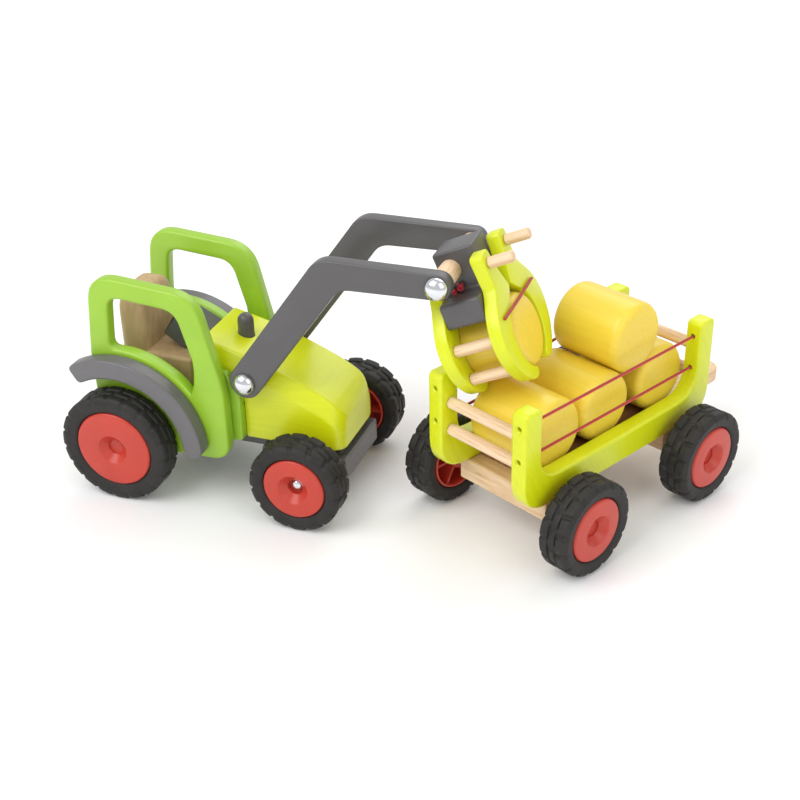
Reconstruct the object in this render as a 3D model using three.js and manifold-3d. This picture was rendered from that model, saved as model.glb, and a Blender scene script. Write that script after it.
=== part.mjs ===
// Wooden toy tractor with a front loader and bale gripper, and its four-wheeled bale trailer.
// Millimetres, +Z up. Everything is laid out in the tractor's own frame first: X forward from the rear
// axle, Y to the tractor's left, Z up from the floor. The finished set is then centred over the origin.

import * as THREE from "three";
import { mergeVertices } from "three/addons/utils/BufferGeometryUtils.js";
import Module from "manifold-3d";

const wasm = await Module();
wasm.setup();

// ---------------------------------------------------------------- driving dimensions

const GAP = 0.3; // air left between separate pieces that touch
const ROUND = 20; // sides of a turned piece
const CURVE = 4; // straight steps in a rounded corner
const PEG_SIDES = 12; // sides of a thin rod

// A wheel's tyre radius, width and rim radius, and its outer face's distance from the centre line.
const REAR_WHEEL = { radius: 40, width: 22, rim: 28, face: 70 };
const FRONT_WHEEL = { radius: 32.5, width: 23.7, rim: 22, face: 67.6 };
const WHEELBASE = 132.8;
const AXLE_RADIUS = 3;
const HUB_DEPTH = 6; // how far a hub is sunk below the wheel's outer face
const AXLE_SHORT = 1; // how far an axle end stays inside its hub

const BODY_HALF = 31; // half width of the hood
const CAB_INNER = 37.5;
const CAB_OUTER = 47.5;
const CAB_BODY = { rear: -19, front: 84, bottom: 44, top: 72 };
const CHEEK = { rear: 62, front: 75, shoulder: 81, top: 96, round: 4 };
const CHASSIS = { rear: -15, front: 150, half: 22, bottom: 34, top: CAB_BODY.bottom - GAP };
const NOSE = { rear: 94, front: 156, half: 30, bottom: 21, top: 38, corner: 1.5 };

// Ridge of the hood as [x, z] stations, falling from the windscreen to the nose.
const HOOD_RIDGE = [
  [52, 113],
  [80, 106],
  [105, 97.5],
  [122, 90.5],
  [138, 83],
  [147, 77],
  [152, 71],
  [154, 66],
];
const HOOD_CHAMFER = { across: 5, down: 12 };
const HOOD_NOSE_ROUND = 9;
const SCREEN_TOP = HOOD_RIDGE[0][1] + 7; // clear above the hood, where the windscreen cut starts
const EXHAUST = { x: 74, radius: 5.6, from: 90, shoulder: 117.5 };

const SEAT = { half: 23, cushion: 93.5, shoulder: 124, top: 141 };
const CONSOLE_HALF = 11;
const FENDER = { inner: 49.5, outer: 63.5, face: 60, from: 5, to: 122, corner: 4 };
const SILL_GAP = 3; // from a fender's outer edge to the cab window's sill

const ARM_INNER = 32;
const ARM_OUTER = 41.5;
const LIFT_PIVOT = { x: 90.7, z: 92.8 };
const HEAD_PIVOT = { x: 225.3, z: 181 };
const PIVOT_RADIUS = 7; // wooden dowel that carries the gripper
const LIFT_ROD = 4;
const ARM_TAIL = 11.4; // radius of an arm's end round the lift pivot
const ARM_NOSE = 8.6; // radius of an arm's end round the gripper dowel
const CAP = { radius: 7.5, height: 6, rim: 1.5 };
const DOWEL_NECK = 5; // radius of the gripper dowel where it passes through the arms

// Gripper frame: X along the jaws' own axis, tilted up from level, Y across, Z up through the head.
const HEAD_TILT = 24;
const HEAD_REAR = -8.7;
const HEAD_FRONT = 18.5;
const HEAD_HALF = 13;
const HEAD_TOP = 12;
const BAR_HALF = 33;
const BAR_TOP = -15;
const BAR_BOTTOM = -32;
const JAW_THICK = 8.8;
const JAW_PIVOT = { y: 27, z: -22 };
const JAW_PIN = 2.6;
const PIN_DEPTH = 6; // how far a pivot pin reaches into a jaw plate
const BALE_DROP = 54.5; // bale centre below the gripper's pivot dowel
const JAW_BORE = 25.1;
const JAW_DOWEL = 3.8;
const PEG = { y: 18.5, z: -1, length: 17 };
const JAW_DOWELS = [{ name: "upper", y: 35, z: -45 }, { name: "lower", y: 30, z: -67.5 }];
const CORD_RADIUS = 1;
const CORD_SIDES = 8;
const ELASTIC = { half: 31, z: -34 }; // the jaws' elastic, half its length across

const BALE_RADIUS = 24.5;
const BALE_LENGTH = 50; // the bale in the gripper
const TRAILER_BALE_LENGTH = 55;
const BALE_EDGE = 5;
const BALE_SPREAD = 58; // between the centres of the two bales that carry the top one

// Trailer frame: X along its length from the near axle to the drawbar, Y across, Z up.
const TRAILER_PLACE = { x: 270, y: -17.3, turn: 62.9 };
const TRAILER_BASE = 120.9;
const TRAILER_FACE = 72.4;
const BOARD_INNER = 30;
const BOARD_OUTER = 42;
const BOARD_FROM = -37;
const BOARD_TO = 152;
const POST = 15.5;
const POST_TOP = 118;
const RAIL_TOP = 65;
const RAIL_BOTTOM = 45;
const BEAM = { half: 11.5, bottom: 28, top: RAIL_BOTTOM - GAP, across: 38 };
const FLOOR_TOP = 55;
const RAIL_DOWEL = 4;
const RAIL_AT = { near: -28.5, far: 145 };
const DOWEL_HEIGHTS = [96.5, 76.5];
const CORD_HEIGHTS = [107, 83.5];
const CORD_SIDE = 36;
const CORD_HOLE_RADIUS = 1.6;
const CORD_DIP = { from: -4, to: 24, down: 13.5 }; // where the left jaw's tip presses the left cord down
const CORD_TAIL = 2; // straight cord left outside a post before it bends
const CORD_BEND = 3;
const DRAWBAR = { eye: 205, half: 11, thick: 10, hole: 4.5 };

// ---------------------------------------------------------------- paints and woods

const paint = (color, roughness = 0.45, metalness = 0) =>
  new THREE.MeshStandardMaterial({ color, roughness, metalness });

const CAB_GREEN = paint(0x9cc834);
const LIME = paint(0xd6df2e);
const GREY = paint(0x5c5a5b);
const FENDER_GREY = paint(0x6f6d6e);
const SEAT_WOOD = paint(0xa8845c, 0.6);
const PALE_WOOD = paint(0xdec49f, 0.65);
const STRAW = paint(0xe3c653, 0.6);
const TYRE_BLACK = paint(0x2c2a29, 0.8);
const RIM_RED = paint(0xc8503f, 0.4);
const STEEL = paint(0xc4c6c8, 0.25, 1);
const CORD_RED = paint(0xa8331f, 0.7);

// ---------------------------------------------------------------- geometry helpers

const radians = THREE.MathUtils.degToRad;

// An outline from corners [x, y, radius]; a corner with a radius is turned by a curve.
function outline(corners) {
  const shape = new THREE.Shape();
  const at = corners.map(([x, y]) => new THREE.Vector2(x, y));
  corners.forEach(([, , radius = 0], i) => {
    const here = at[i];
    const before = at[(i + at.length - 1) % at.length];
    const after = at[(i + 1) % at.length];
    const back = before.clone().sub(here).normalize();
    const ahead = after.clone().sub(here).normalize();
    const half = Math.acos(THREE.MathUtils.clamp(back.dot(ahead), -1, 1)) / 2;
    const cut = radius / Math.tan(half);
    const enter = here.clone().addScaledVector(back, cut);
    const leave = here.clone().addScaledVector(ahead, cut);
    if (i === 0) shape.moveTo(enter.x, enter.y);
    else shape.lineTo(enter.x, enter.y);
    if (radius > 0) shape.quadraticCurveTo(here.x, here.y, leave.x, leave.y);
  });
  shape.closePath();
  return shape;
}

function extrude(shape, depth, options = {}) {
  return new THREE.ExtrudeGeometry(shape, {
    depth,
    bevelEnabled: false,
    curveSegments: CURVE,
    ...options,
  });
}

// A plate drawn in X and Z that fills Y from low to high.
function sidePlate(shape, low, high) {
  const geometry = extrude(shape, high - low);
  geometry.rotateX(Math.PI / 2);
  geometry.translate(0, high, 0);
  return geometry;
}

// A plate drawn in Y and Z that fills X from low to high.
function crossPlate(shape, low, high) {
  const geometry = extrude(shape, high - low);
  const turn = new THREE.Matrix4().makeBasis(
    new THREE.Vector3(0, 1, 0),
    new THREE.Vector3(0, 0, 1),
    new THREE.Vector3(1, 0, 0),
  );
  geometry.applyMatrix4(turn);
  geometry.translate(low, 0, 0);
  return geometry;
}

function block(x0, x1, y0, y1, z0, z1) {
  const geometry = new THREE.BoxGeometry(x1 - x0, y1 - y0, z1 - z0);
  geometry.translate((x0 + x1) / 2, (y0 + y1) / 2, (z0 + z1) / 2);
  return geometry;
}

// A skin through a row of matching convex sections, closed at both ends.
function loft(sections) {
  const count = sections[0].length;
  const faces = [];
  for (let i = 1; i < sections.length; i += 1) {
    for (let j = 0; j < count; j += 1) {
      const k = (j + 1) % count;
      const [a, b] = [(i - 1) * count + j, (i - 1) * count + k];
      const [c, d] = [i * count + j, i * count + k];
      faces.push(a, b, c, b, d, c);
    }
  }
  const last = (sections.length - 1) * count;
  for (let j = 1; j < count - 1; j += 1) {
    faces.push(0, j + 1, j);
    faces.push(last, last + j, last + j + 1);
  }
  const geometry = new THREE.BufferGeometry().setFromPoints(sections.flat());
  geometry.setIndex(faces);
  geometry.computeVertexNormals();
  return geometry;
}

// A round rod along Y from low to high, through (x, z).
function rodY(radius, low, high, x = 0, z = 0, sides = ROUND) {
  const geometry = new THREE.CylinderGeometry(radius, radius, high - low, sides);
  geometry.translate(x, (low + high) / 2, z);
  return geometry;
}

// A round rod along X from low to high, through (y, z).
function rodX(radius, low, high, y = 0, z = 0, sides = PEG_SIDES) {
  const geometry = new THREE.CylinderGeometry(radius, radius, high - low, sides);
  geometry.rotateZ(-Math.PI / 2);
  geometry.translate((low + high) / 2, y, z);
  return geometry;
}

// A turned piece about Y from profile points [radius, y]; a ring's profile closes on itself.
function turned(profile, closed = false) {
  const points = profile.map(([radius, y]) => new THREE.Vector2(radius, y));
  if (closed) points.push(points[0].clone());
  return new THREE.LatheGeometry(points, ROUND);
}

// A solid cylinder about Y with rounded edges, centred on its height.
function softCylinder(radius, height, edge) {
  const half = height / 2;
  const rim = [90, 45, 0].map(radians).map((a) => [
    radius - edge + edge * Math.sin(a),
    half - edge + edge * Math.cos(a),
  ]);
  const lower = rim.map(([r, y]) => [r, -y]).reverse();
  return turned([[0, -half], ...lower, ...rim, [0, half]]);
}

// A round cord at distance y along a route of [x, z] points, mitred at each bend.
function cordAlong(route, y) {
  const at = route.map(([x, z]) => new THREE.Vector2(x, z));
  const sections = at.map((here, i) => {
    const into = at[Math.max(i, 1)].clone().sub(at[Math.max(i, 1) - 1]).normalize();
    const next = Math.min(i + 1, at.length - 1);
    const out = at[next].clone().sub(at[next - 1]).normalize();
    const along = into.clone().add(out).normalize();
    const reach = CORD_RADIUS / along.dot(into);
    const ring = [];
    for (let k = 0; k < CORD_SIDES; k += 1) {
      const turn = (2 * Math.PI * k) / CORD_SIDES;
      const sideways = reach * Math.sin(turn);
      ring.push(new THREE.Vector3(
        here.x - along.y * sideways,
        y + CORD_RADIUS * Math.cos(turn),
        here.y + along.x * sideways,
      ));
    }
    return ring;
  });
  return loft(sections);
}

function solid(geometry) {
  const plain = geometry.clone();
  plain.deleteAttribute("normal");
  plain.deleteAttribute("uv");
  const welded = mergeVertices(plain.index ? plain : mergeVertices(plain), 1e-4);
  const mesh = new wasm.Mesh({
    numProp: 3,
    vertProperties: new Float32Array(welded.attributes.position.array),
    triVerts: new Uint32Array(welded.index.array),
  });
  mesh.merge();
  return new wasm.Manifold(mesh);
}

function geometryOf(manifold) {
  const mesh = manifold.getMesh();
  const geometry = new THREE.BufferGeometry();
  geometry.setAttribute("position", new THREE.BufferAttribute(mesh.vertProperties, mesh.numProp));
  geometry.setIndex(new THREE.BufferAttribute(mesh.triVerts, 1));
  geometry.computeVertexNormals();
  return geometry;
}

const cut = (geometry, ...tools) =>
  geometryOf(tools.reduce((body, tool) => body.subtract(solid(tool)), solid(geometry)));
const join = (geometry, ...others) =>
  geometryOf(others.reduce((body, other) => body.add(solid(other)), solid(geometry)));
const common = (geometry, other) => geometryOf(solid(geometry).intersect(solid(other)));

function piece(name, geometry, material, parent) {
  const mesh = new THREE.Mesh(geometry, material);
  mesh.name = name;
  parent.add(mesh);
  return mesh;
}

// Calls make(side, sign) for the right (-Y) and left (+Y) hand pieces.
function bothSides(make) {
  make("right", -1);
  make("left", 1);
}

// Bounds of a layer from inner to outer distance on one side of the centre line.
const layer = (sign, inner, outer) => (sign < 0 ? [-outer, -inner] : [inner, outer]);

// ---------------------------------------------------------------- wheels

// Tyre section: flat tread with soft shoulders, as a closed ring about Y, centred on its width.
function tyreGeometry(radius, width, rim) {
  const half = width / 2;
  const shoulder = width * 0.2;
  return turned(
    [
      [rim + GAP, -half + 1],
      [radius - shoulder, -half],
      [radius, -half + shoulder],
      [radius, half - shoulder],
      [radius - shoulder, half],
      [rim + GAP, half - 1],
    ],
    true,
  );
}

// Rim: a dish whose hub is sunk on the outer side and whose inner side is open around the hub.
function rimGeometry(width, radius, sign) {
  const half = width / 2;
  const bore = AXLE_RADIUS + GAP;
  const hub = AXLE_RADIUS * 2.2;
  const web = half - HUB_DEPTH;
  const profile = [
    [bore, -half],
    [hub, -half],
    [hub + 1, web - 3],
    [radius - 3, web - 2],
    [radius - 2.2, -half + 1],
    [radius, -half + 1],
    [radius, half - 1],
    [radius - 1, half],
    [hub + 1.5, half],
    [hub - 0.4, web],
    [bore, web],
  ];
  const rim = turned(profile, true);
  return sign < 0 ? rim.rotateX(Math.PI) : rim;
}

function wheelCentre(face, width) {
  return face - width / 2;
}

function tractorWheels(parent) {
  const axles = [
    { name: "front", x: WHEELBASE, ...FRONT_WHEEL },
    { name: "rear", x: 0, ...REAR_WHEEL },
  ];
  for (const axle of axles) {
    const reach = axle.face - HUB_DEPTH - AXLE_SHORT;
    piece(`${axle.name}_axle`, rodY(AXLE_RADIUS, -reach, reach, axle.x, axle.radius), STEEL, parent);
    bothSides((side, sign) => {
      const y = sign * wheelCentre(axle.face, axle.width);
      const tyre = piece(
        `${axle.name}_${side}_tyre`,
        tyreGeometry(axle.radius, axle.width, axle.rim),
        TYRE_BLACK,
        parent,
      );
      const dish = rimGeometry(axle.width, axle.rim, sign);
      const rim = piece(`${axle.name}_${side}_rim`, dish, RIM_RED, parent);
      tyre.position.set(axle.x, y, axle.radius);
      rim.position.set(axle.x, y, axle.radius);
    });
  }
}

// ---------------------------------------------------------------- tractor body

// Tool that clears a hole along Y, right through, for a rod of this radius.
const holeY = (radius, x, z) => rodY(radius + GAP, -FRONT_WHEEL.face, FRONT_WHEEL.face, x, z);

// Chassis: a board under the body, thickened to a bumper block at the front axle.
function chassis(parent) {
  const { rear, front, half, bottom, top } = CHASSIS;
  const nose = outline([
    [NOSE.rear, NOSE.bottom, NOSE.corner],
    [NOSE.front, NOSE.bottom, NOSE.corner],
    [NOSE.front, NOSE.top, NOSE.corner],
    [NOSE.rear, NOSE.top, NOSE.corner],
  ]);
  const body = join(block(rear, front, -half, half, bottom, top), sidePlate(nose, -NOSE.half, NOSE.half));
  const drilled = cut(
    body,
    holeY(AXLE_RADIUS, 0, REAR_WHEEL.radius),
    holeY(AXLE_RADIUS, WHEELBASE, FRONT_WHEEL.radius),
  );
  piece("chassis", drilled, GREY, parent);
}

// Hood: a six-sided section whose top edges are chamfered, falling to the nose and rounded in plan.
function hood(parent) {
  const flat = BODY_HALF - HOOD_CHAMFER.across;
  const { bottom } = CAB_BODY;
  const sections = HOOD_RIDGE.map(([x, top]) => {
    const edge = top - HOOD_CHAMFER.down;
    const corners = [
      [-BODY_HALF, bottom],
      [BODY_HALF, bottom],
      [BODY_HALF, edge],
      [flat, top],
      [-flat, top],
      [-BODY_HALF, edge],
    ];
    return corners.map(([y, z]) => new THREE.Vector3(x, y, z));
  });
  const rear = CAB_BODY.front / 2; // clear behind the hood
  const nose = HOOD_RIDGE.at(-1)[0];
  const plan = outline([
    [rear, -BODY_HALF],
    [nose, -BODY_HALF, HOOD_NOSE_ROUND],
    [nose, BODY_HALF, HOOD_NOSE_ROUND],
    [rear, BODY_HALF],
  ]);
  const ridge = HOOD_RIDGE[0][1];
  const rounded = common(loft(sections), extrude(plan, ridge));
  const onCab = CAB_BODY.top + GAP;
  const screen = outline([
    [rear, SCREEN_TOP],
    [51, SCREEN_TOP],
    [66, onCab],
    [rear, onCab],
  ]);
  const body = cut(
    rounded,
    block(rear, CAB_BODY.front + GAP, -CAB_OUTER, CAB_OUTER, 0, onCab),
    sidePlate(screen, -CAB_OUTER, CAB_OUTER),
    holeY(LIFT_ROD, LIFT_PIVOT.x, LIFT_PIVOT.z),
    exhaustGeometry(GAP),
  );
  piece("hood", body, LIME, parent);
}

// The exhaust is a turned peg set in a drilled hole in the hood; extra makes the hole's tool.
function exhaustGeometry(extra = 0) {
  const radius = EXHAUST.radius + extra;
  const peg = turned([
    [0, EXHAUST.from - extra],
    [radius, EXHAUST.from - extra],
    ...[0, 30, 60].map(radians).map((a) => [
      radius * Math.cos(a),
      EXHAUST.shoulder + radius * Math.sin(a),
    ]),
    [0, EXHAUST.shoulder + radius],
  ]);
  peg.rotateX(Math.PI / 2);
  peg.translate(EXHAUST.x, 0, 0);
  return peg;
}

// Cab body: a wide block whose two cheeks rise beside the hood.
function cabBody(parent) {
  const half = CAB_INNER - GAP;
  const { rear, front, bottom, top } = CAB_BODY;
  const profile = outline([
    [rear, bottom, 3],
    [front, bottom, 4],
    [front, top, 4],
    [rear, top, 3],
  ]);
  const cheek = outline([
    [CHEEK.rear, bottom + CHEEK.round],
    [front, bottom + CHEEK.round],
    [front, CHEEK.shoulder, CHEEK.round],
    [CHEEK.front, CHEEK.top, CHEEK.round],
    [CHEEK.rear, CHEEK.top],
  ]);
  const [right, left] = [-1, 1].map((sign) => sidePlate(cheek, ...layer(sign, BODY_HALF + GAP, half)));
  piece("cab_body", join(sidePlate(profile, -half, half), right, left), CAB_GREEN, parent);
}

// Cab side: one board with a window whose sill follows the fender.
function cabSideShape() {
  const shape = outline([
    [-19.5, 31, 8],
    [78, 32.5, 15],
    [77.5, 84, 80],
    [61, 154, 25],
    [-16.5, 160, 20],
    [-22, 98, 80],
  ]);
  const sill = FENDER.outer + SILL_GAP;
  const window = new THREE.Path();
  const sillFrom = radians(38);
  const sillTo = radians(91);
  window.moveTo(sill * Math.cos(sillFrom), REAR_WHEEL.radius + sill * Math.sin(sillFrom));
  window.absarc(0, REAR_WHEEL.radius, sill, sillFrom, sillTo, false);
  window.quadraticCurveTo(-5.8, 106.5, -5.5, 112);
  window.lineTo(-3.6, 136);
  window.quadraticCurveTo(-2.8, 144.5, 6, 144.5);
  window.lineTo(36, 142);
  window.quadraticCurveTo(45.5, 141.5, 48.5, 133);
  window.lineTo(55.5, 108);
  window.quadraticCurveTo(57, 98, 54.5, 86);
  window.closePath();
  shape.holes.push(window);
  return shape;
}

function cabSides(parent) {
  bothSides((side, sign) => {
    const [low, high] = layer(sign, CAB_INNER, CAB_OUTER);
    const board = cut(sidePlate(cabSideShape(), low, high), holeY(AXLE_RADIUS, 0, REAR_WHEEL.radius));
    piece(`cab_side_${side}`, board, CAB_GREEN, parent);
  });
}

// Fender: an arc of board over each rear wheel, centred on the axle.
function fenders(parent) {
  const shape = new THREE.Shape();
  const { inner, outer, corner } = FENDER;
  const from = radians(FENDER.from);
  const to = radians(FENDER.to);
  const half = (outer - inner) / 2;
  const polar = (radius, turn) => [radius * Math.cos(turn), radius * Math.sin(turn)];
  const innerEnd = to - corner / inner;
  shape.absarc(0, 0, outer, from, to - corner / outer, false);
  shape.quadraticCurveTo(...polar(outer, to), ...polar(outer - corner, to));
  shape.lineTo(...polar(inner + corner, to));
  shape.quadraticCurveTo(...polar(inner, to), ...polar(inner, innerEnd));
  shape.absarc(0, 0, inner, innerEnd, from, true);
  const end = polar(inner + half, from);
  shape.absarc(...end, half, from + Math.PI, from + 2 * Math.PI, false);
  bothSides((side, sign) => {
    const [low, high] = layer(sign, CAB_OUTER + GAP, FENDER.face);
    const geometry = extrude(shape, high - low, { curveSegments: 6 });
    geometry.rotateX(Math.PI / 2);
    geometry.translate(0, high, REAR_WHEEL.radius);
    piece(`fender_${side}`, geometry, FENDER_GREY, parent);
  });
}

// Seat: base and back in one turned-over L, with a domed back.
function seat(parent) {
  const { half, cushion, shoulder, top } = SEAT;
  const floor = CAB_BODY.top + GAP;
  const profile = outline([
    [-13, floor],
    [42, floor, 3],
    [42, cushion, 4],
    [8, cushion],
    [4, top, 5],
    [-12, top, 5],
  ]);
  const back = new THREE.Shape();
  back.moveTo(-half, floor);
  back.lineTo(half, floor);
  back.lineTo(half, shoulder);
  back.quadraticCurveTo(half - 2, top, 0, top);
  back.quadraticCurveTo(2 - half, top, -half, shoulder);
  back.closePath();
  const body = common(sidePlate(profile, -half, half), crossPlate(back, CAB_BODY.rear, CAB_BODY.front));
  piece("seat", body, SEAT_WOOD, parent);
}

// Steering console: it stands between the seat and the hood and leans back over the seat.
function steeringConsole(parent) {
  const floor = CAB_BODY.top + GAP;
  const profile = outline([
    [15, 104, 2],
    [28, 94.8, 2],
    [42.5, 94.8],
    [42.5, floor],
    [64.5, floor],
    [52.5, 109, 2],
    [27, 122.5, 4],
  ]);
  piece("steering_console", sidePlate(profile, -CONSOLE_HALF, CONSOLE_HALF), GREY, parent);
}

// ---------------------------------------------------------------- loader

// Boomerang arm drawn in X and Z: up from the lift pivot, then forward to the gripper dowel.
function armShape() {
  const shape = new THREE.Shape();
  const climb = radians(58.2);
  const { x, z } = LIFT_PIVOT;
  const under = HEAD_PIVOT.z - ARM_NOSE;
  const over = HEAD_PIVOT.z + ARM_NOSE;
  shape.absarc(x, z, ARM_TAIL, climb + Math.PI / 2, climb + (3 * Math.PI) / 2, false);
  shape.lineTo(156.4, 164.5);
  shape.quadraticCurveTo(161, under - 1.4, 169, under - 1.4);
  shape.lineTo(HEAD_PIVOT.x, under);
  shape.absarc(HEAD_PIVOT.x, HEAD_PIVOT.z, ARM_NOSE, -Math.PI / 2, Math.PI / 2, false);
  shape.lineTo(156, over);
  shape.quadraticCurveTo(145, over, 139.5, 180);
  shape.closePath();
  return shape;
}

// A domed chrome cap standing on its flat face, with its top toward +Y.
function capGeometry() {
  const dome = CAP.height - CAP.rim;
  const arc = [0, 45].map(radians).map((a) => [CAP.radius * Math.cos(a), CAP.rim + dome * Math.sin(a)]);
  return turned([[0, 0], [CAP.radius, 0], ...arc, [0, CAP.height]]);
}

// The same cap seated on the outside of an arm.
function armCap(sign, x, z) {
  const cap = capGeometry();
  if (sign < 0) cap.rotateX(Math.PI);
  return cap.translate(x, sign * (ARM_OUTER + GAP), z);
}

function loader(parent) {
  bothSides((side, sign) => {
    const [low, high] = layer(sign, ARM_INNER, ARM_OUTER);
    const arm = cut(
      sidePlate(armShape(), low, high),
      holeY(LIFT_ROD, LIFT_PIVOT.x, LIFT_PIVOT.z),
      holeY(DOWEL_NECK, HEAD_PIVOT.x, HEAD_PIVOT.z),
    );
    piece(`loader_arm_${side}`, arm, GREY, parent);
    piece(`gripper_cap_${side}`, armCap(sign, HEAD_PIVOT.x, HEAD_PIVOT.z), STEEL, parent);
  });
  // Lift pivot: one steel rod through the hood, domed over each arm.
  const { x, z } = LIFT_PIVOT;
  const rod = rodY(LIFT_ROD, -ARM_OUTER - CAP.rim, ARM_OUTER + CAP.rim, x, z);
  piece("lift_pivot_rod", join(rod, armCap(-1, x, z), armCap(1, x, z)), STEEL, parent);
  // Gripper dowel: thick between the arms, turned down where it passes through them.
  const shoulder = ARM_INNER - GAP;
  const dowel = turned([
    [0, -ARM_OUTER],
    [DOWEL_NECK, -ARM_OUTER],
    [DOWEL_NECK, -shoulder],
    [PIVOT_RADIUS, -shoulder],
    [PIVOT_RADIUS, shoulder],
    [DOWEL_NECK, shoulder],
    [DOWEL_NECK, ARM_OUTER],
    [0, ARM_OUTER],
  ]);
  dowel.translate(HEAD_PIVOT.x, 0, HEAD_PIVOT.z);
  piece("gripper_dowel", dowel, PALE_WOOD, parent);
}

// ---------------------------------------------------------------- gripper

function gripperFrame(parent) {
  const frame = new THREE.Group();
  frame.position.set(HEAD_PIVOT.x, 0, HEAD_PIVOT.z);
  frame.rotation.y = -radians(HEAD_TILT);
  parent.add(frame);
  return frame;
}

// Head: an upper block on the dowel and a wide bar that carries the jaw pins.
function gripperHead(frame) {
  const shape = outline([
    [-BAR_HALF, BAR_BOTTOM, 3],
    [BAR_HALF, BAR_BOTTOM, 3],
    [BAR_HALF, BAR_TOP, 3],
    [HEAD_HALF, BAR_TOP, 2],
    [HEAD_HALF, HEAD_TOP, 2],
    [-HEAD_HALF, HEAD_TOP, 2],
    [-HEAD_HALF, BAR_TOP, 2],
    [-BAR_HALF, BAR_TOP, 3],
  ]);
  const body = crossPlate(shape, HEAD_REAR, HEAD_FRONT);
  const scoop = rodX(JAW_BORE + 2 * GAP, HEAD_REAR - GAP, HEAD_FRONT + GAP, 0, -BALE_DROP, 2 * ROUND);
  const shaped = cut(body, holeY(PIVOT_RADIUS, 0, 0), scoop);
  const low = HEAD_REAR - GAP - PIN_DEPTH;
  const high = HEAD_FRONT + GAP + PIN_DEPTH;
  const pin = (y) => rodX(JAW_PIN, low, high, y, JAW_PIVOT.z);
  piece("gripper_head", join(shaped, pin(-JAW_PIVOT.y), pin(JAW_PIVOT.y)), GREY, frame);
}

// Jaw plate outline for the left jaw, in Y and Z of the gripper frame.
function jawOutline(withLever) {
  const shape = new THREE.Shape();
  const from = radians(-66);
  const to = radians(58);
  shape.absarc(0, -BALE_DROP, JAW_BORE, from, to, false);
  shape.lineTo(1.6, -23.5);
  if (withLever) {
    shape.lineTo(8, -10);
    shape.lineTo(11.5, 4.5);
    shape.quadraticCurveTo(12.5, 7, 15, 7);
    shape.lineTo(21.5, 6.5);
    shape.quadraticCurveTo(25, 6, 24.8, 2);
    shape.lineTo(24, -15);
  } else {
    shape.lineTo(3.5, -16);
    shape.quadraticCurveTo(4.5, -12.5, 9, -12);
    shape.lineTo(22, -12);
  }
  shape.bezierCurveTo(27, -23, 42.5, -30, 42.5, -48);
  shape.bezierCurveTo(42.5, -62, 33, -75, 21, -81);
  shape.quadraticCurveTo(14, -84, 10.5, -80.5);
  shape.closePath();
  return shape;
}

function mirrored(shape, sign) {
  const points = shape.getPoints(CURVE + 1).map((point) => new THREE.Vector2(point.x * sign, point.y));
  return new THREE.Shape(points);
}

function jaws(frame) {
  const plates = [
    { name: "rear", low: HEAD_REAR - GAP - JAW_THICK, high: HEAD_REAR - GAP, lever: false },
    { name: "front", low: HEAD_FRONT + GAP, high: HEAD_FRONT + GAP + JAW_THICK, lever: true },
  ];
  bothSides((side, sign) => {
    for (const { name, low, high, lever } of plates) {
      const plate = crossPlate(mirrored(jawOutline(lever), sign), low, high);
      const inner = name === "rear" ? high : low;
      const deep = PIN_DEPTH + GAP;
      const socket = rodX(JAW_PIN + GAP, inner - deep, inner + deep, sign * JAW_PIVOT.y, JAW_PIVOT.z);
      piece(`jaw_${side}_${name}`, cut(plate, socket), LIME, frame);
    }
    for (const { name, y, z } of JAW_DOWELS) {
      const dowel = rodX(JAW_DOWEL, HEAD_REAR, HEAD_FRONT, sign * y, z);
      piece(`jaw_${side}_${name}_dowel`, dowel, PALE_WOOD, frame);
    }
    const face = HEAD_FRONT + 2 * GAP + JAW_THICK;
    const peg = rodX(JAW_DOWEL, face, face + PEG.length, sign * PEG.y, PEG.z);
    piece(`jaw_${side}_peg`, peg, PALE_WOOD, frame);
  });
}

// The elastic runs across the front of the jaws and holds them shut.
function jawCord(frame) {
  const front = HEAD_FRONT + GAP + JAW_THICK + CORD_RADIUS + GAP;
  const cord = rodY(CORD_RADIUS, -ELASTIC.half, ELASTIC.half, front, ELASTIC.z, CORD_SIDES);
  piece("jaw_elastic", cord, CORD_RED, frame);
}

// ---------------------------------------------------------------- bales

function bale(name, length, parent) {
  return piece(name, softCylinder(BALE_RADIUS, length, BALE_EDGE), STRAW, parent);
}

function gripperBale(frame) {
  const held = bale("gripper_bale", BALE_LENGTH, frame);
  const front = HEAD_FRONT + GAP + JAW_THICK;
  held.rotation.z = Math.PI / 2;
  held.position.set(front - BALE_LENGTH / 2, 0, -BALE_DROP);
}

// Three bales lie across the trailer floor, and the fourth rests on the rear two.
function trailerBales(frame) {
  const low = FLOOR_TOP + GAP + BALE_RADIUS;
  const rearmost = RAIL_AT.far - RAIL_DOWEL - GAP - BALE_RADIUS;
  const middle = rearmost - BALE_SPREAD;
  const between = (rearmost + middle) / 2;
  const reach = 2 * BALE_RADIUS + GAP;
  const rise = Math.sqrt(reach ** 2 - (rearmost - between) ** 2);
  const places = [
    { name: "trailer_bale_front", x: middle - reach, z: low },
    { name: "trailer_bale_middle", x: middle, z: low },
    { name: "trailer_bale_rear", x: rearmost, z: low },
    { name: "trailer_bale_top", x: between, z: low + rise },
  ];
  for (const { name, x, z } of places) {
    bale(name, TRAILER_BALE_LENGTH, frame).position.set(x, 0, z);
  }
}

// ---------------------------------------------------------------- trailer

function trailerFrame(parent) {
  const frame = new THREE.Group();
  frame.position.set(TRAILER_PLACE.x, TRAILER_PLACE.y, 0);
  frame.rotation.z = radians(TRAILER_PLACE.turn);
  parent.add(frame);
  return frame;
}

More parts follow.
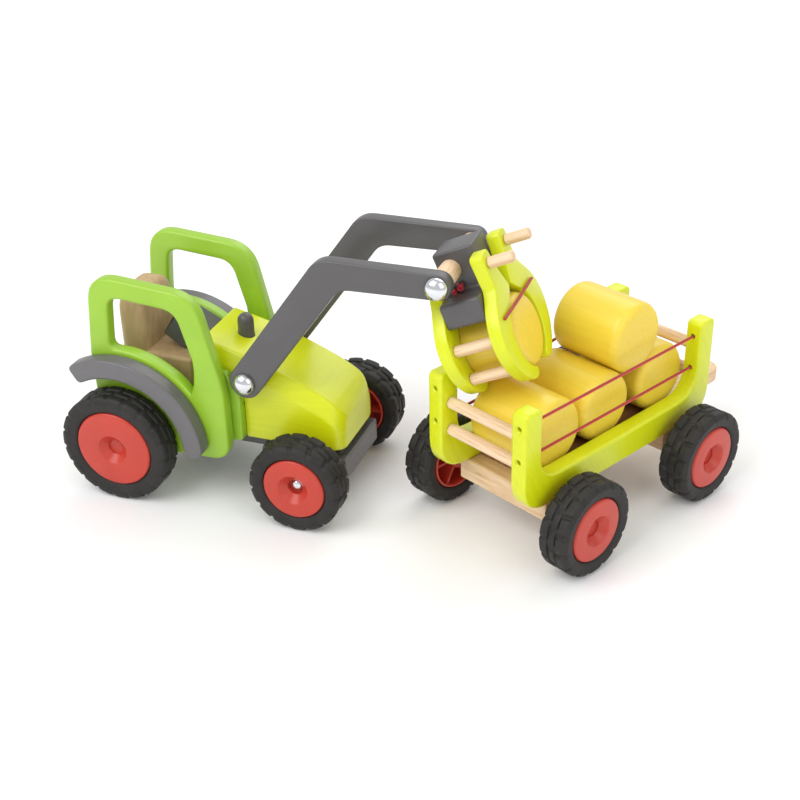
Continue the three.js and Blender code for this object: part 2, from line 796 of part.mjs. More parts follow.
// U-shaped side board, drilled along X for its two elastic cords.
function trailerSides(frame) {
  const shape = outline([
    [BOARD_FROM, POST_TOP, 4.5],
    [BOARD_FROM, RAIL_BOTTOM, 24],
    [BOARD_TO, RAIL_BOTTOM, 24],
    [BOARD_TO, POST_TOP, 4.5],
    [BOARD_TO - POST, POST_TOP, 4.5],
    [BOARD_TO - POST, RAIL_TOP, 20],
    [BOARD_FROM + POST, RAIL_TOP, 20],
    [BOARD_FROM + POST, POST_TOP, 4.5],
  ]);
  bothSides((side, sign) => {
    const [low, high] = layer(sign, BOARD_INNER, BOARD_OUTER);
    const drills = CORD_HEIGHTS.map((z) =>
      rodX(CORD_HOLE_RADIUS, BOARD_FROM - GAP, BOARD_TO + GAP, sign * CORD_SIDE, z, CORD_SIDES));
    piece(`trailer_side_${side}`, cut(sidePlate(shape, low, high), ...drills), LIME, frame);
  });
}

// One cord on each side goes out through the rear post, down behind it and back. The left jaw's tip
// presses the left cord's upper run down.
function trailerCords(frame) {
  const [upper, lower] = CORD_HEIGHTS;
  const start = BOARD_FROM + CORD_TAIL;
  const edge = BOARD_TO + CORD_TAIL;
  const behind = edge + CORD_BEND;
  const pressed = upper - CORD_DIP.down;
  const dip = {
    right: [],
    left: [
      [BOARD_FROM + POST + CORD_TAIL, upper],
      [CORD_DIP.from, pressed],
      [CORD_DIP.to, pressed],
      [BOARD_TO - POST - CORD_TAIL, upper],
    ],
  };
  bothSides((side, sign) => {
    const route = [
      [start, upper],
      ...dip[side],
      [edge, upper],
      [behind, upper - CORD_BEND],
      [behind, lower + CORD_BEND],
      [edge, lower],
      [start, lower],
    ];
    piece(`trailer_cord_${side}`, cordAlong(route, sign * CORD_SIDE), CORD_RED, frame);
  });
}

function trailerBase(frame) {
  const half = BOARD_INNER - GAP;
  const deck = BEAM.top + GAP;
  piece("trailer_floor", block(0, TRAILER_BASE, -half, half, deck, FLOOR_TOP), PALE_WOOD, frame);
  for (const [name, x] of [["front", 0], ["rear", TRAILER_BASE]]) {
    const shape = outline([
      [x - BEAM.half, BEAM.bottom, 2],
      [x + BEAM.half, BEAM.bottom, 2],
      [x + BEAM.half, BEAM.top, 2],
      [x - BEAM.half, BEAM.top, 2],
    ]);
    const reach = TRAILER_FACE - HUB_DEPTH - AXLE_SHORT;
    const beam = sidePlate(shape, -BEAM.across, BEAM.across);
    const axle = rodY(AXLE_RADIUS, -reach, reach, x, FRONT_WHEEL.radius);
    piece(`trailer_${name}_axle_beam`, join(beam, axle), PALE_WOOD, frame);
    bothSides((side, sign) => {
      const tyre = tyreGeometry(FRONT_WHEEL.radius, FRONT_WHEEL.width, FRONT_WHEEL.rim - GAP);
      const rim = rimGeometry(FRONT_WHEEL.width, FRONT_WHEEL.rim + GAP, sign);
      const wheel = piece(`trailer_${name}_${side}_wheel`, join(tyre, rim), TYRE_BLACK, frame);
      wheel.position.set(x, sign * wheelCentre(TRAILER_FACE, FRONT_WHEEL.width), FRONT_WHEEL.radius);
    });
  }
}

// Two dowels close each end between the side boards.
function trailerRails(frame) {
  const half = BOARD_INNER - GAP;
  const ends = [
    { name: "front", x: RAIL_AT.near },
    { name: "rear", x: RAIL_AT.far },
  ];
  const levels = ["upper", "lower"];
  for (const { name, x } of ends) {
    levels.forEach((level, i) => {
      const rail = rodY(RAIL_DOWEL, -half, half, x, DOWEL_HEIGHTS[i]);
      piece(`trailer_${name}_${level}_rail`, rail, PALE_WOOD, frame);
    });
  }
}

// Drawbar: a flat tongue under the floor with a hole for the tractor's hitch peg.
function drawbar(frame) {
  const root = TRAILER_BASE + BEAM.half + GAP;
  const { eye, half, thick } = DRAWBAR;
  const shape = new THREE.Shape();
  shape.moveTo(root, -half);
  shape.lineTo(eye, -half);
  shape.absarc(eye, 0, half, -Math.PI / 2, Math.PI / 2, false);
  shape.lineTo(root, half);
  shape.closePath();
  const hole = new THREE.Path();
  hole.absarc(eye, 0, DRAWBAR.hole, 0, 2 * Math.PI, true);
  shape.holes.push(hole);
  const bar = extrude(shape, thick, { curveSegments: 8 });
  bar.translate(0, 0, BEAM.top - thick);
  piece("trailer_drawbar", bar, PALE_WOOD, frame);
}

// ---------------------------------------------------------------- the whole set

const toySet = new THREE.Group();
const layout = new THREE.Group();
toySet.add(layout);

chassis(layout);
cabBody(layout);
hood(layout);
piece("exhaust", exhaustGeometry(), GREY, layout);
cabSides(layout);
fenders(layout);
seat(layout);
steeringConsole(layout);
tractorWheels(layout);
loader(layout);

const gripper = gripperFrame(layout);
gripperHead(gripper);
jaws(gripper);
jawCord(gripper);
gripperBale(gripper);

const trailer = trailerFrame(layout);
trailerBase(trailer);
trailerSides(trailer);
trailerCords(trailer);
trailerRails(trailer);
drawbar(trailer);
trailerBales(trailer);

// Centre the set over the origin, standing on the floor.
toySet.updateMatrixWorld(true);
const box = new THREE.Box3().setFromObject(layout, true);
const centre = box.getCenter(new THREE.Vector3());
layout.position.set(-centre.x, -centre.y, -box.min.z);

export default toySet;
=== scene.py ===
"""Looks for the wooden toy tractor with its bale gripper, and for its bale trailer."""
import math

import bmesh
import bpy
from mathutils import Matrix, Vector


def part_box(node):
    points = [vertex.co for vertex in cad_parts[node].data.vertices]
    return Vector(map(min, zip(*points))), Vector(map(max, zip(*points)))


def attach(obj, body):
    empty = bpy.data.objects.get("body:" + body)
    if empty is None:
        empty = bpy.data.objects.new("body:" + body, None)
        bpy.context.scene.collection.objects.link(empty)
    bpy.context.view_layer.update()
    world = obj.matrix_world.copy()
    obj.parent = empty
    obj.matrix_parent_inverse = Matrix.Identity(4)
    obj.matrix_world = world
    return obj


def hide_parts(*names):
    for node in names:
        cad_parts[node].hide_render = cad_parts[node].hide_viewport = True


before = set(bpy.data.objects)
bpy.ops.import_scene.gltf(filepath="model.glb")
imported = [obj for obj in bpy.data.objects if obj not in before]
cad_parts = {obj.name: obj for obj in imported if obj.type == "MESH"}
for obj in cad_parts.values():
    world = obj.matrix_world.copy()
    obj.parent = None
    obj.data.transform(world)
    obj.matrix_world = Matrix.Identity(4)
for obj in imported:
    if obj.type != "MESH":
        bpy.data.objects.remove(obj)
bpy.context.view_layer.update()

MM = 0.001

# ---------------------------------------------------------------- driving dimensions, in millimetres

# Wheels: rims and tread blocks, hubs, ribs behind a rim, and the caps that show in deep hubs.
SMALL_WHEEL = {"rim": 22, "lugs": 15, "lug_height": 1.4}
LARGE_WHEEL = {"rim": 28, "lugs": 19, "lug_height": 0.9}
SIDE_LUG_HEIGHT = 0.5
HUB_RADIUS = 10.2  # mouth of the cone sunk into a rim
HUB_HOLE = 5.4  # radius of the hole at the cone's foot
CONE_DEPTH = 4.2
WEB_DEPTH = 9.4  # from a rim's outer face to the back of its web
DEEP_HOLE = 9  # a deep hub hole shows the axle's end
SHALLOW_HOLE = 6.6  # a shallow one hides it
RIM_RIBS = 6
RIB_INNER = 6.0
RIB_SHORT = 1.6  # how far a rib ends inside the rim's edge
RIB_THICKNESS = 1.6
RIB_OVERLAP = 0.5  # how far a rib runs into the web
RIB_BACK = 0.72  # how far back a rib reaches, as a share of the half width
AXLE_CAP_RADIUS = 3.9
AXLE_CAP_SUNK = 0.4
AXLE_CAP_RIM = 0.8
AXLE_CAP_DOME = 2.2

# Loader, gripper and bales.
CHROME_CAP_RIM = 0.8
LIFT_ROD_RADIUS = 4
LIFT_ROD_SHORT = 5  # how far each end of the rod stops before the cap's top
HEAD_TILT = 24  # degrees the gripper leans from level
BALE_EDGE = 5.5
JAW_ELASTIC_SAG = 0.4
KNOT_CORD_RADIUS = 0.95
KNOT_TURNS = 2  # times round its ring
KNOT_TWIST = 3  # waves on the way
KNOTS = (  # each knot's place in the gripper's own frame, and its ring's radius
    ("head_knot", (-15.2, -11.5, 2.5), 2.1),
    ("head_knot_tail", (-15.2, -13.8, -2.5), 1.6),
)

# Trailer, in its own frame: thickness and outer faces of its posts, and the route of its cords.
TRAILER_TURN = 62.9  # degrees the trailer is turned from the tractor
POST = 15.5
POST_NEAR = -37
POST_FAR = 152
CORD_RADIUS = 1.0
CORD_SIDE = 36
CORD_UPPER = 107
CORD_LOWER = 83.5
CORD_CLEAR = 4.5  # how far behind the far post a cord runs down
CORD_BEND = 4.0
CORD_DIP = 13.5  # how far a jaw presses the left cord down, from where and to where
CORD_DIP_FROM = -4
CORD_DIP_TO = 24
CORD_HOLE_RADIUS = 1.7
COUNTERSINK_RADIUS = 2.6
COUNTERSINK_LIP = 0.2
OVERSHOOT = 1  # how far a cutting tool reaches past the wood
CORD_SUNK = 3.0  # how deep in its hole a cord ends

# Hood: its ridge as (x, z) points in the tractor's own frame, its section and its cuts.
HOOD_RIDGE = [
    (40, 116), (52, 113), (80, 106), (105, 97.5), (122, 90.5),
    (138, 83), (147, 77), (152, 71), (154, 66),
]
HOOD_STEP = 3  # distance between sections, up to the nose
HOOD_HALF = 31
HOOD_BOTTOM = 44
HOOD_CHAMFER = (5, 12)  # across and down
HOOD_NOSE_ROUND = 9
HOOD_EDGE = 2.2
EXHAUST_GAP = 0.3
EXHAUST_HOLE = (80, 130)  # heights that the tool for the exhaust's hole spans
CAB_FRONT = 84.3
CAB_TOP = 72.3
SCREEN = [(51, 120), (66, CAB_TOP)]  # the hood's sloping rear edge, top and foot

# Seat: half width, then each part's top, corner ease, rear and front face, and edge rounding.
SEAT_HALF = 23
SEAT_PARTS = (
    ("seat_back", 137, 17, (-12, 7), 5),
    ("seat_cushion", 93.5, 3, (-11, 42), 3),
)

# Painted edges: how far each CAD piece's edges are rounded.
EDGE_ROUND = {
    "cab_side": 2.2,
    "fender": 1.6,
    "cab_body": 1.2,
    "chassis": 1.0,
    "steering_console": 1.4,
    "loader_arm": 1.2,
    "gripper_head": 1.2,
    "jaw": 0.9,
    "trailer_side": 1.8,
    "trailer_floor": 0.8,
    "trailer_front_axle_beam": 0.9,
    "trailer_rear_axle_beam": 0.9,
    "trailer_drawbar": 1.0,
}
EDGE_STEPS = 3
SHARP_ANGLE = 38  # degrees between faces that counts as an edge
STRAIGHT_ANGLE = 0.6  # degrees at a point that count as no turn
CURVE_RUN = 14  # longest straight run that still belongs to a curve
RUN_RATIO = 1.8  # how much longer than its neighbours such a run may be
SMALL_HOLE = 40  # a hole with a rim shorter than this holds a rod and is left out
FACE_ON = 0.999  # least cosine between an axis and a face that looks along it
WELD = 0.00001  # metres between points that count as one

# Studio: the floor and the lights in metres and watts.
FLOOR_SIZE = 12
FLOOR_GAP = 0.0002  # between the floor and the wheels
SKY_STRENGTH = 0.75
LIGHTS = (  # name, place, size, power
    ("key", (-0.9, -1.3, 1.7), 1.6, 26),
    ("fill", (1.4, -0.9, 1.2), 1.4, 8),
    ("back", (0.2, 1.6, 1.8), 1.8, 16),
)

# Camera: angles in degrees, place in metres, lens and sensor in millimetres.
CAMERA_AZIMUTH = 20.33
CAMERA_ELEVATION = 29.81
CAMERA_ROLL = -0.0222  # radians
CAMERA_PLACE = (0.2833, -0.8035, 0.5348)
CAMERA_LENS = 61.92
CAMERA_SENSOR = 36


# ---------------------------------------------------------------- materials

WHITE = (1, 1, 1, 1)


def srgb(red, green, blue):
    """A colour given as 0-255 display values, as the linear colour a shader takes."""
    def linear(value):
        value /= 255
        return value / 12.92 if value <= 0.04045 else ((value + 0.055) / 1.055) ** 2.4
    return (linear(red), linear(green), linear(blue), 1.0)


def shaded(color, factor):
    """The same colour made darker or lighter."""
    return tuple(min(1.0, channel * factor) for channel in color[:3]) + (1.0,)


class Shader:
    """A material's node tree, with short calls for the nodes that the finishes share."""

    def __init__(self, name):
        self.material = bpy.data.materials.new(name)
        self.material.use_nodes = True
        self.nodes = self.material.node_tree.nodes
        self.links = self.material.node_tree.links
        self.surface = self.nodes["Principled BSDF"]
        self.coords = self.nodes.new("ShaderNodeTexCoord").outputs["Object"]

    def set(self, **values):
        """Sets the surface's own values, with _ for each space in a socket's name."""
        for key, value in values.items():
            self.surface.inputs[key.replace("_", " ")].default_value = value
        return self

    def drive(self, socket, output):
        """Feeds a node's output into one of the surface's sockets."""
        self.links.new(output, self.surface.inputs[socket])

    def mapped(self, scale, turn=0.0):
        """Object coordinates turned about Z by some radians, then scaled per axis."""
        turned = self.nodes.new("ShaderNodeMapping")
        turned.inputs["Rotation"].default_value = (0, 0, turn)
        self.links.new(self.coords, turned.inputs["Vector"])
        scaled = self.nodes.new("ShaderNodeMapping")
        scaled.inputs["Scale"].default_value = scale
        self.links.new(turned.outputs["Vector"], scaled.inputs["Vector"])
        return scaled.outputs["Vector"]

    def noise(self, vector, scale, detail=4.0, roughness=0.55, distortion=0.0):
        node = self.nodes.new("ShaderNodeTexNoise")
        node.inputs["Scale"].default_value = scale
        node.inputs["Detail"].default_value = detail
        node.inputs["Roughness"].default_value = roughness
        node.inputs["Distortion"].default_value = distortion
        self.links.new(vector, node.inputs["Vector"])
        return node.outputs["Fac"]

    def ramp(self, factor, low, high, start=0.3, end=0.7):
        """A factor turned into a colour or grey between low and high."""
        node = self.nodes.new("ShaderNodeValToRGB")
        first, last = node.color_ramp.elements
        first.position, last.position = start, end
        first.color, last.color = low, high
        self.links.new(factor, node.inputs["Fac"])
        return node.outputs["Color"]

    def remap(self, factor, low, high):
        node = self.nodes.new("ShaderNodeMapRange")
        node.inputs["To Min"].default_value = low
        node.inputs["To Max"].default_value = high
        self.links.new(factor, node.inputs["Value"])
        return node.outputs["Result"]

    def bump(self, *layers):
        """Bumps one over another; each layer is a height, and its depth in millimetres."""
        normal = None
        for height, depth in layers:
            node = self.nodes.new("ShaderNodeBump")
            node.inputs["Distance"].default_value = depth * MM
            self.links.new(height, node.inputs["Height"])
            if normal:
                self.links.new(normal, node.inputs["Normal"])
            normal = node.outputs["Normal"]
        self.drive("Normal", normal)


def painted_wood(name, color, roughness=0.36, grain=(40, 40, 400), turn=0.0):
    """Stained and lacquered wood: close tones that follow a faint grain under a smooth coat."""
    shader = Shader(name)
    fibres = shader.noise(shader.mapped(grain, turn), 1.0, detail=5, distortion=0.4)
    patches = shader.noise(shader.coords, 28, detail=2)
    tone = shader.ramp(fibres, shaded(color, 0.95), shaded(color, 1.03))
    mix = shader.nodes.new("ShaderNodeMixRGB")
    mix.blend_type = "MULTIPLY"
    mix.inputs["Fac"].default_value = 0.5
    shader.links.new(tone, mix.inputs["Color1"])
    shader.links.new(shader.ramp(patches, (0.93, 0.93, 0.93, 1), WHITE), mix.inputs["Color2"])
    shader.drive("Base Color", mix.outputs["Color"])
    shader.drive("Roughness", shader.remap(patches, roughness - 0.05, roughness + 0.07))
    shader.bump((fibres, 0.05), (shader.noise(shader.coords, 900, detail=2), 0.02))
    shader.set(Coat_Weight=0.25, Coat_Roughness=0.18, IOR=1.5)
    return shader.material


def bare_wood(name, color, dark, grain=(350, 350, 22), turn=0.0, roughness=0.6, flecked=0.55):
    """Sanded beech: long fibres with short dark flecks along them."""
    shader = Shader(name)
    along = shader.mapped(grain, turn)
    fibres = shader.noise(along, 1.0, detail=6, roughness=0.6, distortion=0.6)
    flecks = shader.noise(shader.mapped(tuple(3 * value for value in grain), turn), 1.0, detail=2)
    mix = shader.nodes.new("ShaderNodeMixRGB")
    mix.blend_type = "MULTIPLY"
    mix.inputs["Fac"].default_value = flecked
    shader.links.new(shader.ramp(fibres, dark, color, 0.32, 0.62), mix.inputs["Color1"])
    spots = shader.ramp(flecks, (0.72, 0.62, 0.52, 1), WHITE, 0.3, 0.42)
    shader.links.new(spots, mix.inputs["Color2"])
    shader.drive("Base Color", mix.outputs["Color"])
    shader.drive("Roughness", shader.remap(fibres, roughness + 0.08, roughness - 0.08))
    shader.bump((fibres, 0.12), (flecks, 0.05))
    return shader.material


def moulded_rubber(name):
    """Black rubber, dusted in soft patches."""
    shader = Shader(name)
    dust = shader.noise(shader.coords, 90, detail=4)
    shader.drive("Base Color", shader.ramp(dust, srgb(26, 25, 24), srgb(42, 40, 38)))
    shader.drive("Roughness", shader.remap(dust, 0.5, 0.68))
    shader.bump((shader.noise(shader.coords, 1500, detail=2), 0.03), (dust, 0.05))
    shader.set(Specular_IOR_Level=0.4)
    return shader.material


def moulded_plastic(name, color):
    """Glossy plastic with a trace of light inside it."""
    shader = Shader(name)
    flow = shader.noise(shader.coords, 60, detail=3)
    shader.drive("Base Color", shader.ramp(flow, shaded(color, 0.93), shaded(color, 1.04)))
    shader.drive("Roughness", shader.remap(flow, 0.27, 0.37))
    shader.bump((shader.noise(shader.coords, 1200, detail=2), 0.012))
    shader.set(Subsurface_Weight=0.08, Subsurface_Scale=0.002, Subsurface_Radius=(1.0, 0.35, 0.25))
    return shader.material


def polished_steel(name, tint=(222, 224, 228)):
    """Bright steel with fine scuffs in its gloss."""
    shader = Shader(name)
    scuffs = shader.noise(shader.mapped((1, 1, 30)), 300, detail=4)
    shader.drive("Roughness", shader.remap(scuffs, 0.07, 0.2))
    shader.bump((scuffs, 0.008))
    shader.set(Base_Color=srgb(*tint), Metallic=1.0)
    return shader.material


def braided_elastic(name, color):
    """Elastic with a woven cover: two sets of threads crossing on a slant."""
    shader = Shader(name)
    heights = []
    for slant in (0.9, -0.9):
        threads = shader.nodes.new("ShaderNodeTexWave")
        threads.inputs["Scale"].default_value = 420
        threads.inputs["Distortion"].default_value = 1.0
        shader.links.new(shader.mapped((1, 1, slant)), threads.inputs["Vector"])
        heights.append(threads.outputs["Fac"])
    threads_color = shader.ramp(heights[0], shaded(color, 0.6), shaded(color, 1.15), 0.2, 0.8)
    shader.drive("Base Color", threads_color)
    shader.bump(*[(height, 0.15) for height in heights])
    shader.set(Roughness=0.8, Sheen_Weight=0.3)
    return shader.material


TRAILER_RADIANS = math.radians(TRAILER_TURN)
CAB_GREEN = painted_wood("cab_green", srgb(150, 194, 46))
LIME_COLOR = srgb(215, 224, 10)
LIME = painted_wood("lime", LIME_COLOR)
LIME_TRAILER = painted_wood(
    "lime_trailer", LIME_COLOR, grain=(30, 400, 400), turn=-TRAILER_RADIANS
)
GREY = painted_wood("grey", srgb(82, 80, 81), roughness=0.4)
FENDER_GREY = painted_wood("fender_grey", srgb(100, 98, 100), roughness=0.4)
STRAW = painted_wood("straw", srgb(238, 208, 64), roughness=0.42, grain=(400, 400, 25))
SEAT_WOOD = bare_wood(
    "seat_wood", srgb(196, 166, 126), srgb(172, 142, 104), grain=(120, 25, 120), flecked=0.25
)
FLOOR_WOOD = bare_wood(
    "floor_wood", srgb(165, 118, 76), srgb(128, 86, 52), grain=(25, 300, 300), turn=-TRAILER_RADIANS
)
PALE_BEECH = (srgb(236, 208, 172), srgb(212, 174, 130))
BEAM_WOOD = bare_wood("beam_wood", *PALE_BEECH, grain=(300, 25, 300), turn=-TRAILER_RADIANS)
DRAWBAR_WOOD = bare_wood("drawbar_wood", *PALE_BEECH, grain=(25, 300, 300), turn=-TRAILER_RADIANS)
DOWEL_WOOD = bare_wood("dowel_wood", srgb(238, 210, 176), srgb(216, 178, 136))
RUBBER = moulded_rubber("rubber")
RIM_RED = moulded_plastic("rim_red", srgb(190, 58, 42))
STEEL = polished_steel("steel")
ELASTIC = braided_elastic("elastic", srgb(196, 48, 30))
KNOT = braided_elastic("knot", srgb(214, 24, 52))


# ---------------------------------------------------------------- shared axes

ACROSS = Vector((0, 1, 0))
ACROSS_TRAILER = Vector((-math.sin(TRAILER_RADIANS), math.cos(TRAILER_RADIANS), 0))
LEAN = math.radians(HEAD_TILT)
GRIPPER_AXIS = Vector((math.cos(LEAN), 0, math.sin(LEAN)))
SIDES = (("left", 1), ("right", -1))

# Tips a drawing over, so that its X runs across (Y), its Y up (Z) and its Z along (X).
TIPPED = Matrix(((0, 0, 1, 0), (1, 0, 0, 0), (0, 1, 0, 0), (0, 0, 0, 1)))


# ---------------------------------------------------------------- mesh helpers

def centre_of(node):
    """The middle of a CAD node's box."""
    low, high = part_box(node)
    return (low + high) / 2


def extent(node, axis):
    """Lowest and highest distance of a CAD node's points along an axis through the origin."""
    reach = [axis.dot(vertex.co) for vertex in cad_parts[node].data.vertices]
    return min(reach), max(reach)


def turned_size(node, axis):
    """Radius and half length, in millimetres, of a round CAD node that lies along an axis."""
    low, high = extent(node, axis)
    side_low, side_high = extent(node, axis.orthogonal().normalized())
    return (side_high - side_low) / 2 / MM, (high - low) / 2 / MM


def kind_of(node, table):
    """The longest key of a table that a node's name starts with."""
    return max((key for key in table if node.startswith(key)), key=len)


def facing(axis, centre):
    """A matrix whose Z runs along axis and whose origin is at centre."""
    turn = Vector(axis).normalized().to_track_quat("Z", "Y")
    return Matrix.Translation(centre) @ turn.to_matrix().to_4x4()


def finish_piece(name, mesh_data, material, body, matrix=None, replaces=()):
    """Makes an object of a bmesh: smooth, with its real edges kept, riding on a body."""
    bmesh.ops.recalc_face_normals(mesh_data, faces=mesh_data.faces)
    for face in mesh_data.faces:
        face.smooth = True
    for edge in mesh_data.edges:
        if len(edge.link_faces) == 2:
            edge.smooth = edge.calc_face_angle(0) < math.radians(SHARP_ANGLE)
    mesh = bpy.data.meshes.new(name)
    mesh_data.to_mesh(mesh)
    mesh_data.free()
    mesh.materials.append(material)
    piece = bpy.data.objects.new(name, mesh)
    bpy.context.scene.collection.objects.link(piece)
    if matrix:
        piece.matrix_world = matrix
    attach(piece, body)
    if replaces:
        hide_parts(*replaces)
    return piece


def revolve(profile, steps, move=None):
    """Turns a profile of (radius, height) in millimetres about Z, welding points on the axis.
    move(angle, radius, height) may shift each point."""
    mesh = bmesh.new()
    rings = []
    for radius, height in profile:
        if radius == 0:
            rings.append([mesh.verts.new((0, 0, height * MM))])
            continue
        ring = []
        for step in range(steps):
            angle = 2 * math.pi * step / steps
            here = move(angle, radius, height) if move else (radius, height)
            ring.append(mesh.verts.new((
                here[0] * math.cos(angle) * MM, here[0] * math.sin(angle) * MM, here[1] * MM
            )))
        rings.append(ring)
    for low, high in zip(rings, rings[1:]):
        for step in range(steps):
            after = (step + 1) % steps
            corners = [
                low[step % len(low)], low[after % len(low)],
                high[after % len(high)], high[step % len(high)],
            ]
            mesh.faces.new(list(dict.fromkeys(corners)))
    return mesh


def arc(centre_radius, centre_height, radius, start, end, steps):
    """Profile points on an arc, from start to end degrees, 0 pointing outward and 90 up."""
    points = []
    for step in range(steps + 1):
        angle = math.radians(start + (end - start) * step / steps)
        points.append((
            centre_radius + radius * math.cos(angle), centre_height + radius * math.sin(angle)
        ))
    return points


def dome(radius, foot, height, degrees):
    """Profile points up a dome, one every so many degrees, without the one on its axis."""
    angles = [math.radians(a) for a in range(0, 90, degrees)]
    return [(radius * math.cos(angle), foot + height * math.sin(angle)) for angle in angles]


def corner_curve(enter, corner, leave, steps):
    """Points of a curve from enter to leave that turns a corner."""
    shares = [step / steps for step in range(steps + 1)]
    return [enter * (1 - t) ** 2 + corner * 2 * t * (1 - t) + leave * t ** 2 for t in shares]


def eased(corners, cut, steps=4):
    """A closed outline of corners, each turned on a curve that starts cut away from it."""
    points = []
    count = len(corners)
    for i, corner in enumerate(corners):
        here = Vector(corner)
        back = Vector(corners[i - 1]) - here
        ahead = Vector(corners[(i + 1) % count]) - here
        reach = min(cut, back.length * 0.45, ahead.length * 0.45)
        enter = here + back.normalized() * reach
        leave = here + ahead.normalized() * reach
        points += corner_curve(enter, here, leave, steps)
    return points


def rounded_route(points, bend, steps=5):
    """A route of straight runs with each corner turned on a curve, cut by at most bend."""
    path = [Vector(point) for point in points]
    route = [path[0]]
    for before, here, after in zip(path, path[1:], path[2:]):
        back, ahead = before - here, after - here
        enter = here + back.normalized() * min(bend, back.length * 0.45)
        leave = here + ahead.normalized() * min(bend, ahead.length * 0.45)
        route += corner_curve(enter, here, leave, steps)
    route.append(path[-1])
    return route


def loft(mesh, rings):
    """Joins rings of vertices one to the next, and closes both ends."""
    for low, high in zip(rings, rings[1:]):
        for step in range(len(low)):
            after = (step + 1) % len(low)
            mesh.faces.new((low[step], low[after], high[after], high[step]))
    mesh.faces.new(rings[0])
    mesh.faces.new(rings[-1])


def prism(outline, half):
    """A solid drawn as (x, z) points, reaching half to each side along Y, in millimetres."""
    mesh = bmesh.new()
    loft(mesh, [
        [mesh.verts.new((x * MM, y * MM, z * MM)) for x, z in outline] for y in (-half, half)
    ])
    return mesh


def tube(points, radius, sides=10):
    """A round tube along points in millimetres, closed at both ends, its rings kept from twisting."""
    path = [Vector(point) * MM for point in points]
    mesh = bmesh.new()
    rings = []
    side = None
    for index, here in enumerate(path):
        ahead = (path[min(index + 1, len(path) - 1)] - path[max(index - 1, 0)]).normalized()
        if side is None:
            side = ahead.orthogonal().normalized()
        side = (side - ahead * side.dot(ahead)).normalized()
        up = ahead.cross(side)
        ring = []
        for step in range(sides):
            angle = 2 * math.pi * step / sides
            outward = side * math.cos(angle) + up * math.sin(angle)
            ring.append(mesh.verts.new(here + outward * radius * MM))
        rings.append(ring)
    loft(mesh, rings)
    return mesh


# ---------------------------------------------------------------- painted boards with rounded edges

def cap_loops(node, axis):
    """The loops of the board face that looks along axis, in 3-D, and the heights of its two faces."""
    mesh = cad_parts[node].data
    mesh.calc_loop_triangles()
    levels = {1: {}, -1: {}}
    for triangle in mesh.loop_triangles:
        corners = [mesh.vertices[index].co for index in triangle.vertices]
        normal = (corners[1] - corners[0]).cross(corners[2] - corners[0])
        if abs(normal.normalized().dot(axis)) > FACE_ON:
            level = round(axis.dot(corners[0]) / MM, 1)
            group = levels[1 if normal.dot(axis) > 0 else -1].setdefault(level, [0, []])
            group[0] += normal.length
            group[1].append([tuple(round(value, 5) for value in corner) for corner in corners])
    high, (_, faces) = max(levels[1].items(), key=lambda item: item[1][0])
    low = max(levels[-1].items(), key=lambda item: item[1][0])[0]
    edges = {(face[k], face[(k + 1) % 3]) for face in faces for k in range(3)}
    onward = {a: b for a, b in edges if (b, a) not in edges}
    loops = []
    while onward:
        start = next(iter(onward))
        loop = [start]
        here = onward.pop(start)
        while here != start:
            loop.append(here)
            here = onward.pop(here)
        loops.append([Vector(point) for point in loop])
    return loops, low, high


def turn_at(loop, index):
    """How far a flat loop turns at a point, in radians, left being positive."""
    into = (loop[index] - loop[index - 1]).to_2d()
    out = (loop[(index + 1) % len(loop)] - loop[index]).to_2d()
    return math.atan2(into.x * out.y - into.y * out.x, into.dot(out))


def without_straight_points(loop):
    """The loop's corners, without the points that only lie on a straight run."""
    least = math.radians(STRAIGHT_ANGLE)
    return [point for i, point in enumerate(loop) if abs(turn_at(loop, i)) > least]


def rounder(loop):
    """The loop with a point added on the bulge of each short run of a curve."""
    finer = []
    count = len(loop)
    for i, here in enumerate(loop):
        after = loop[(i + 1) % count]
        finer.append(here)
        turns = (turn_at(loop, i), turn_at(loop, (i + 1) % count))
        run = (after - here).length
        beside = ((here - loop[i - 1]).length, (loop[(i + 2) % count] - after).length)
        gentle = all(abs(turn) < math.radians(SHARP_ANGLE) for turn in turns)
        curved = gentle and turns[0] * turns[1] > 0
        if curved and run < RUN_RATIO * max(beside) and run < CURVE_RUN * MM:
            along = (after - here).normalized()
            outward = Vector((along.y, -along.x, 0))
            finer.append((here + after) / 2 + outward * run * sum(turns) / 16)
    return finer


def evaluated_mesh(item):
    """An object's mesh as its modifiers or its curve settings leave it."""
    graph = bpy.context.evaluated_depsgraph_get()
    return bpy.data.meshes.new_from_object(item.evaluated_get(graph))


def cut_with(mesh_data, cutters):
    """Takes cutter bmeshes away from a bmesh."""
    body = bpy.data.meshes.new("body")
    mesh_data.to_mesh(body)
    mesh_data.free()
    work = bpy.data.objects.new("body", body)
    bpy.context.scene.collection.objects.link(work)
    for cutter in cutters:
        bmesh.ops.recalc_face_normals(cutter, faces=cutter.faces)
        shape = bpy.data.meshes.new("tool")
        cutter.to_mesh(shape)
        cutter.free()
        tool = bpy.data.objects.new("tool", shape)
        bpy.context.scene.collection.objects.link(tool)
        cut = work.modifiers.new("cut", "BOOLEAN")
        cut.object = tool
        cut.solver = "EXACT"
        done = evaluated_mesh(work)
        work.modifiers.clear()
        work.data = done
        bpy.data.objects.remove(tool)
    result = bmesh.new()
    result.from_mesh(work.data)
    bpy.data.objects.remove(work)
    return result


